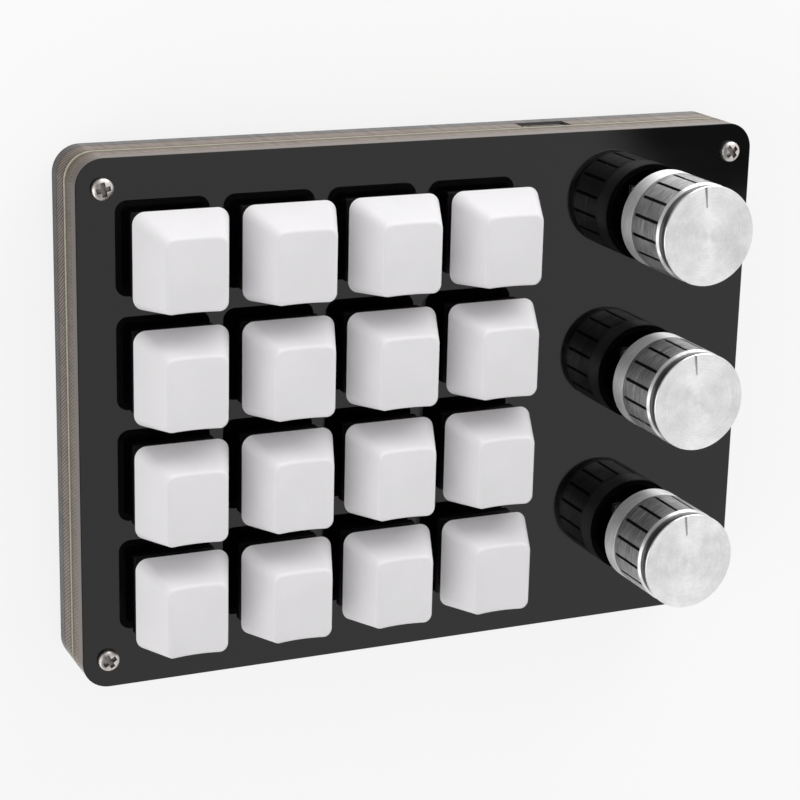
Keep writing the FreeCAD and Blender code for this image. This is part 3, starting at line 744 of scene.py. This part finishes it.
def knob_mesh(sizes, height, radius):
    """A knob shell on its own axis: turned form, slots in its band, and the pointer's line."""
    work = bmesh.new()
    start = math.radians(POINTER_DEGREES)
    lathe(work, knob_profile(sizes, height, radius), KNOB_STEPS, start)
    recess_shade_layer = work.verts.layers.float.new(RECESS_SHADE_NAME)
    # The groove's points carry the mark for painted shade
    for vert in work.verts:
        if sizes.groove_low < vert.co.z < sizes.groove_high and vert.co.xy.length < radius - sizes.rim_chamfer:
            vert[recess_shade_layer] = GROOVE_SHADE
    for number in range(SLOT_COUNT):
        cut_slot(work, sizes, radius, start + number * math.tau / SLOT_COUNT, recess_shade_layer)
    pointer = outer_faces(work, start, height - SAME_HEIGHT, height + SAME_HEIGHT, POINTER_START)
    for vert in sink(work, pointer):
        middle_line = abs(turn_away(vert.co, start)) < SAME_TURN
        vert.co.z -= POINTER_DEPTH if middle_line else POINTER_DEPTH / 4
    work.normal_update()
    return work


class KEYPAD_OT_knobs(bpy.types.Operator):
    """Replaces the knob shells by finely turned ones"""

    bl_idname = "keypad.knobs"
    bl_label = "Knob shells"

    def execute(self, context):
        sizes = context.scene.keypad_sizes
        low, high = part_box("knob_shell_1")
        single = knob_mesh(sizes, high.z - low.z, (high.y - low.y) / 2)
        for knob in KNOBS:
            work = moved(single.copy(), knob_centre(knob) + Vector((0, 0, low.z)))
            finished("knob_shell_%s_dress" % knob, work, "knob", "knob_" + knob,
                     ["knob_shell_" + knob], smooth_degrees=25)
        single.free()
        return {"FINISHED"}


def screw_mesh(sizes, height, shank):
    """A pan head screw, head up, with its seat at height zero, a cross recess and a threaded shank."""
    radius = sizes.screw_radius
    work = bmesh.new()
    angles = [math.radians(angle) for angle in range(0, 91, 10)]
    rise = 1 - DOME_FOOT
    dome = [(radius * math.sin(angle), (DOME_FOOT + rise * math.cos(angle)) * height) for angle in angles]
    points = dome + [(radius, 0.08 * height), (radius - 0.08 * height, 0), (SCREW_SHANK, 0)]
    turns = int(shank / THREAD_PITCH)
    for turn in range(turns):
        z = -turn * THREAD_PITCH
        points += [(SCREW_SHANK, z - 0.2 * THREAD_PITCH), (SCREW_SHANK - THREAD_DEPTH, z - 0.6 * THREAD_PITCH)]
    points += [(SCREW_SHANK - THREAD_DEPTH, -shank), (0, -shank)]
    lathe(work, points, 32)
    half = sizes.recess_width / 2
    reach = sizes.recess_length
    for axis in (Vector((1, 0, 0)), Vector((0, 1, 0))):
        for offset in (-reach, -half, half, reach):
            top = [face for face in work.faces if face.calc_center_median().z > DOME_FOOT * height]
            geom = list({item for face in top for item in (*face.verts, *face.edges)}) + top
            bmesh.ops.bisect_plane(work, geom=geom, dist=CUT_LIMIT, plane_co=axis * offset, plane_no=axis)
    work.normal_update()
    recess = []
    for face in work.faces:
        centre = face.calc_center_median()
        narrow, wide = sorted((abs(centre.x), abs(centre.y)))
        if narrow < half and wide < reach and centre.z > DOME_FOOT * height:
            recess.append(face)
    # The recess's points carry the mark for painted shade
    recess_shade_layer = work.verts.layers.float.new(RECESS_SHADE_NAME)
    inner = sink(work, recess)
    for vert in inner:
        depth = RECESS_DEPTH * height * (1 - RECESS_RISE * vert.co.xy.length / reach)
        vert.co.z = max(RECESS_FLOOR * height, vert.co.z - depth)
        vert[recess_shade_layer] = 1
    bmesh.ops.scale(work, vec=(RECESS_TAPER, RECESS_TAPER, 1), verts=inner)
    bmesh.ops.recalc_face_normals(work, faces=work.faces)
    return work


def foot_mesh(low, high, radius):
    """A round foot with a soft rim and a shallow hollow where it stands."""
    work = bmesh.new()
    height = high - low
    points = [(0, FOOT_HOLLOW), (0.55 * radius, FOOT_HOLLOW), (0.62 * radius, 0.0)]
    points += [(out * radius, up * height) for out, up in FOOT_PROFILE]
    lathe(work, points, 48)
    return moved(work, (0, 0, low))


class KEYPAD_OT_fasteners(bpy.types.Operator):
    """Replaces the case screws and the feet, and finishes the standoffs"""

    bl_idname = "keypad.fasteners"
    bl_label = "Screws, standoffs and feet"

    def execute(self, context):
        sizes = context.scene.keypad_sizes
        low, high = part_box("case_screws")
        plate_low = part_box("bottom_plate")[0].z
        height = high.z - FACE_Z
        shank = FACE_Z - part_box("top_plate")[0].z + SCREW_PAST_PLATE
        whole = bmesh.new()
        for number, corner in enumerate(corner_centres(high, sizes.screw_radius)):
            for upper in (True, False):
                single = screw_mesh(sizes, height, shank)
                turn = Matrix.Rotation(math.radians(SCREW_TURNS[number]), 4, "Z")
                bmesh.ops.transform(single, matrix=turn, verts=single.verts)
                if not upper:
                    bmesh.ops.transform(single, matrix=Matrix.Rotation(math.pi, 4, "X"), verts=single.verts)
                moved(single, (corner.x, corner.y, FACE_Z if upper else plate_low))
                joined(whole, single)
        finished("case_screws_dress", whole, "screw", "case", ["case_screws"], smooth_degrees=30)
        low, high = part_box("rubber_feet")
        across = [vert.co.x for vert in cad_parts["rubber_feet"].data.vertices if min(vert.co.xy) > 0]
        radius = (max(across) - min(across)) / 2
        feet = copies(foot_mesh(low.z, high.z, radius), corner_centres(high, radius))
        finished("rubber_feet_dress", feet, "rubber", "case", ["rubber_feet"], smooth_degrees=40)
        posts = merged_copy("standoffs")
        soften(posts, STANDOFF_EDGE)
        finished("standoffs_dress", posts, "brass", "case", ["standoffs"])
        return {"FINISHED"}


class KEYPAD_OT_case_sheets(bpy.types.Operator):
    """Replaces the case's sheets by ones with broken edges"""

    bl_idname = "keypad.case_sheets"
    bl_label = "Case sheets"

    def execute(self, context):
        sizes = context.scene.keypad_sizes
        for node, finish, slot in (
                ("top_plate", "plate", "top_acrylic"), ("upper_frame", "upper", "frame_acrylic"),
                ("circuit_board", "board", "board"), ("lower_frame", "lower", "frame_acrylic"),
                ("bottom_plate", "bottom", "bottom_acrylic")):
            sheet = merged_copy(node)
            soften(sheet, sizes.sheet_edge)
            finished(node + "_dress", sheet, finish, "case", [node], level=True)
        return {"FINISHED"}


def coil_mesh(low, high):
    """A coil spring on the axis between two heights, with its first and last turns closed up."""
    work = bmesh.new()
    upright = Matrix.Translation((COIL_RADIUS, 0, low + COIL_WIRE / 2)) @ Matrix.Rotation(math.pi / 2, 4, "X")
    bmesh.ops.create_circle(work, cap_ends=True, segments=COIL_SIDES, radius=COIL_WIRE / 2, matrix=upright)
    section = work.verts[:] + work.edges[:] + work.faces[:]
    open_turns = COIL_TURNS - 2
    rise = (high - low - 3 * COIL_WIRE) / open_turns
    for turns, climb in ((1, COIL_WIRE), (open_turns, rise), (1, COIL_WIRE)):
        made = bmesh.ops.spin(work, geom=section, cent=(0, 0, 0), axis=(0, 0, 1), angle=turns * math.tau,
                              steps=turns * COIL_STEPS, dvec=(0, 0, climb / COIL_STEPS))
        section = made["geom_last"]
    bmesh.ops.recalc_face_normals(work, faces=work.faces)
    return work


class KEYPAD_OT_switches(bpy.types.Operator):
    """Softens the switch housings and winds the springs"""

    bl_idname = "keypad.switches"
    bl_label = "Key switches"

    def execute(self, context):
        for node in ("switch_lower_housings", "switch_upper_housings"):
            housing = merged_copy(node)
            soften(housing, HOUSING_EDGE)
            finished(node + "_dress", housing, "housing", "case", [node], level=True)
        low, high = (corner.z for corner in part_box("switch_springs"))
        single = coil_mesh(low, high)
        for key in KEYS:
            centre = key_centre(key)
            nodes = ["switch_springs"] if key == KEYS[0] else []
            work = moved(single.copy(), centre)
            spring = finished("switch_spring_" + key, work, "spring", "case", nodes,
                              smooth_degrees=50)
            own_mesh(spring)
        single.free()
        return {"FINISHED"}


def bush_mesh(radius, low, high, bore):
    """An encoder's threaded bush: rings of thread, a plain foot and a chamfered mouth."""
    work = bmesh.new()
    depth = BUSH_THREAD_DEPTH
    foot = radius + 0.35 * MM
    points = [(bore, low), (foot, low), (foot, low + 0.6 * MM), (radius - depth, low + 0.7 * MM)]
    turns = int((high - low - 1.2 * MM) / (2 * THREAD_PITCH))
    for turn in range(turns):
        z = low + 0.9 * MM + turn * 2 * THREAD_PITCH
        points += [(radius - depth, z), (radius, z + 0.9 * THREAD_PITCH), (radius, z + 1.1 * THREAD_PITCH)]
    points += [(radius - depth, high - 0.25 * MM), (radius - 2 * depth, high)]
    points += [(bore + 0.2 * MM, high), (bore, high - 0.2 * MM)]
    lathe(work, points + [points[0]], 48)
    return work


class KEYPAD_OT_encoders(bpy.types.Operator):
    """Replaces the encoder covers by ones with a threaded bush"""

    bl_idname = "keypad.encoders"
    bl_label = "Encoder covers"

    def execute(self, context):
        cover = merged_copy("encoder_covers")
        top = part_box("encoder_covers")[1].z
        plate_top = FACE_Z + ENCODER_PROUD
        above = [vert for vert in cover.verts if vert.co.z > plate_top + 0.1 * MM]
        bmesh.ops.delete(cover, geom=above, context="VERTS")
        bmesh.ops.holes_fill(cover, edges=[edge for edge in cover.edges if edge.is_boundary], sides=0)
        bmesh.ops.recalc_face_normals(cover, faces=cover.faces)
        soften(cover, COVER_EDGE)
        finished("encoder_covers_dress", cover, "steel", "case", ["encoder_covers"])
        bush = bush_mesh(BUSH_RADIUS, plate_top - 0.2 * MM, top, BUSH_BORE)
        offsets = [knob_centre(knob) for knob in KNOBS]
        finished("encoder_bushes", copies(bush, offsets), "steel", "case")
        return {"FINISHED"}


def rounded_tube(width, height, depth, corner):
    """A bar of rounded section that runs along -Y from the origin."""
    work = bmesh.new()
    bmesh.ops.create_cube(work, size=1)
    bmesh.ops.scale(work, vec=(width, depth, height), verts=work.verts)
    bmesh.ops.translate(work, vec=(0, -depth / 2, 0), verts=work.verts)
    along = [edge for edge in work.edges if abs(edge.verts[0].co.y - edge.verts[1].co.y) > depth / 2]
    rounded(work, along, corner, 10)
    return work


class KEYPAD_OT_usb_socket(bpy.types.Operator):
    """Replaces the socket by a rounded shell with its tongue"""

    bl_idname = "keypad.usb_socket"
    bl_label = "USB socket"

    def execute(self, context):
        low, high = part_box("usb_socket")
        centre = (low + high) / 2
        size = high - low
        shell = rounded_tube(size.x, size.z, size.y, size.z / 2 - 0.02 * MM)
        shell.normal_update()
        mouth = [face for face in shell.faces if face.normal.y > 0.9]
        bmesh.ops.delete(shell, geom=mouth, context="FACES")
        bmesh.ops.recalc_face_normals(shell, faces=shell.faces)
        bmesh.ops.solidify(shell, geom=shell.faces[:], thickness=SHELL_WALL)
        moved(shell, (centre.x, high.y, centre.z))
        finished("usb_shell_dress", shell, "steel", "case", ["usb_socket"])
        tongue = rounded_tube(TONGUE_WIDTH, TONGUE_HEIGHT, size.y - TONGUE_BACK, TONGUE_CORNER)
        moved(tongue, (centre.x, high.y - TONGUE_BACK, centre.z))
        finished("usb_tongue", tongue, "ivory", "case")
        return {"FINISHED"}


class KEYPAD_OT_inner_parts(bpy.types.Operator):
    """Gives the parts inside the case and the knobs their finishes"""

    bl_idname = "keypad.inner_parts"
    bl_label = "Inner parts"

    def execute(self, context):
        finishes = {"switch_pins": "brass", "board_components": "chip", "encoder_bases": "green"}
        for key in KEYS:
            finishes["key_stem_" + key] = "stem"
        for knob in KNOBS:
            finishes["encoder_rotor_" + knob] = "ivory"
            finishes["encoder_shaft_" + knob] = "shaft"
            finishes["knob_insert_" + knob] = "black"
        for node, finish in finishes.items():
            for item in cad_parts[node].material_slots:
                item.material = FINISH[finish]
        return {"FINISHED"}


# Floor, light and camera


def floor_material():
    """Pale floor that keeps the keypad's shadow, and is lighter where the camera or a gloss sees it."""
    material, tree, shader = new_material("pale floor")
    base = tuple(bpy.context.scene.keypad_colours.floor)
    shade = tinted(tree, spread(tree, noise(tree, scale=6, detail=3), 0, 1), scaled(base, 0.985), base)
    tree.links.new(shade, shader.inputs["Base Color"])
    shader.inputs["Roughness"].default_value = 0.9
    seen = linked(tree, "ShaderNodeLightPath").outputs
    any_view = maths(tree, "MAXIMUM", seen["Is Camera Ray"], seen["Is Glossy Ray"])
    glow = linked(tree, "ShaderNodeEmission", {"Color": (1, 1, 1, 1), "Strength": 1.0})
    both = linked(tree, "ShaderNodeMixShader", {
        "Fac": maths(tree, "MULTIPLY", any_view, FLOOR_GLOW), 1: shader.outputs[0], 2: glow.outputs[0]})
    tree.links.new(both.outputs[0], tree.nodes["Material Output"].inputs["Surface"])
    return material


def heading(azimuth, elevation):
    """Direction of an azimuth from X towards Y, and an elevation."""
    around = math.radians(azimuth)
    up = math.radians(elevation)
    return Vector((math.cos(around) * math.cos(up), math.sin(around) * math.cos(up), math.sin(up)))


DARK_ZONES = (
    (heading(120, 8), 0.30, 0.58, 0.15),
    (heading(156, 4), 0.25, 0.50, 0.35),
    (Vector((-0.30, -0.58, 0.757)), 0.32, 0.62, 0.22),
    (Vector((-0.45, 0.05, 0.89)), 0.42, 0.74, 0.12),
    (CORNER_FLAG, 0.036, 0.062, 0.12))


def glossy_level(tree):
    """How bright a gloss sees the studio: white, with soft dark zones of (direction, inner, outer, share)."""
    coordinates = linked(tree, "ShaderNodeTexCoord").outputs["Generated"]
    level = None
    for direction, inner, outer, share in DARK_ZONES:
        away = vectors(tree, "DISTANCE", coordinates, direction.normalized(), output="Value")
        zone = linked(tree, "ShaderNodeMapRange", {
            "Value": away, "From Min": inner, "From Max": outer, "To Min": share, "To Max": 1.0},
            interpolation_type="SMOOTHSTEP").outputs["Result"]
        level = zone if level is None else maths(tree, "MULTIPLY", level, zone)
    return level


class KEYPAD_OT_stage(bpy.types.Operator):
    """Makes the floor, the lamps, the world and the camera"""

    bl_idname = "keypad.stage"
    bl_label = "Floor, light and camera"

    def execute(self, context):
        scene = context.scene
        work = bmesh.new()
        bmesh.ops.create_grid(work, x_segments=1, y_segments=1, size=3)
        mesh = bpy.data.meshes.new("floor")
        work.to_mesh(mesh)
        work.free()
        mesh.materials.append(floor_material())
        floor = bpy.data.objects.new("floor", mesh)
        scene.collection.objects.link(floor)

        world = bpy.data.worlds.new("studio")
        world.use_nodes = True
        tree = world.node_tree
        seen = linked(tree, "ShaderNodeLightPath").outputs
        straight = maths(tree, "MAXIMUM", seen["Is Camera Ray"], seen["Is Transmission Ray"])
        plain = spread(tree, straight, WORLD_LIGHT, 1, 0, 1)
        level = mixed(tree, seen["Is Glossy Ray"], plain, glossy_level(tree))
        sky = tree.nodes["Background"]
        sky.inputs["Color"].default_value = (1, 1, 1, 1)
        tree.links.new(level, sky.inputs["Strength"])
        scene.world = world

        for name, azimuth, elevation, size, power in LAMPS:
            lamp_data = bpy.data.lights.new(name, "AREA")
            lamp_data.shape = "DISK"
            lamp_data.size = size
            lamp_data.energy = power
            lamp = bpy.data.objects.new(name, lamp_data)
            direction = heading(azimuth, elevation)
            lamp.location = direction * LAMP_DISTANCE
            lamp.rotation_euler = direction.to_track_quat("Z", "Y").to_euler()
            scene.collection.objects.link(lamp)

        camera_data = bpy.data.cameras.new("camera")
        camera_data.lens = CAMERA_LENS
        camera_data.clip_start = 0.01
        camera_data.clip_end = 20
        camera = bpy.data.objects.new("camera", camera_data)
        camera.location = CAMERA_PLACE
        camera.rotation_euler = [math.radians(angle) for angle in CAMERA_TURN]
        scene.collection.objects.link(camera)
        scene.camera = camera
        scene.view_settings.view_transform = "Standard"
        return {"FINISHED"}


OPERATORS = (
    KEYPAD_OT_case_sheets, KEYPAD_OT_fasteners, KEYPAD_OT_usb_socket, KEYPAD_OT_switches, KEYPAD_OT_keycaps,
    KEYPAD_OT_encoders, KEYPAD_OT_knobs, KEYPAD_OT_inner_parts, KEYPAD_OT_stage)


class KEYPAD_PT_panel(bpy.types.Panel):
    """Lists the keypad's operators, sizes and colours"""

    bl_idname = "KEYPAD_PT_panel"
    bl_label = "Macro keypad"
    bl_space_type = "VIEW_3D"
    bl_region_type = "UI"
    bl_category = "Keypad"

    def draw(self, context):
        for operator in OPERATORS:
            self.layout.operator(operator.bl_idname)
        for group in (context.scene.keypad_sizes, context.scene.keypad_colours):
            box = self.layout.box()
            for name in group.__annotations__:
                box.prop(group, name)


CLASSES = (KeypadSizes, KeypadColours, *OPERATORS, KEYPAD_PT_panel)


def register():
    """Adds the classes and the scene's settings."""
    for item in CLASSES:
        bpy.utils.register_class(item)
    bpy.types.Scene.keypad_sizes = bpy.props.PointerProperty(type=KeypadSizes)
    bpy.types.Scene.keypad_colours = bpy.props.PointerProperty(type=KeypadColours)


def unregister():
    """Takes the settings and the classes away again."""
    del bpy.types.Scene.keypad_colours
    del bpy.types.Scene.keypad_sizes
    for item in reversed(CLASSES):
        bpy.utils.unregister_class(item)


def main():
    """Dresses the keypad, piece by piece, and sets the stage."""
    register()
    FINISH.update(build_materials())
    for operator in OPERATORS:
        group, name = operator.bl_idname.split(".")
        getattr(getattr(bpy.ops, group), name)()


if __name__ == "__main__":
    main()
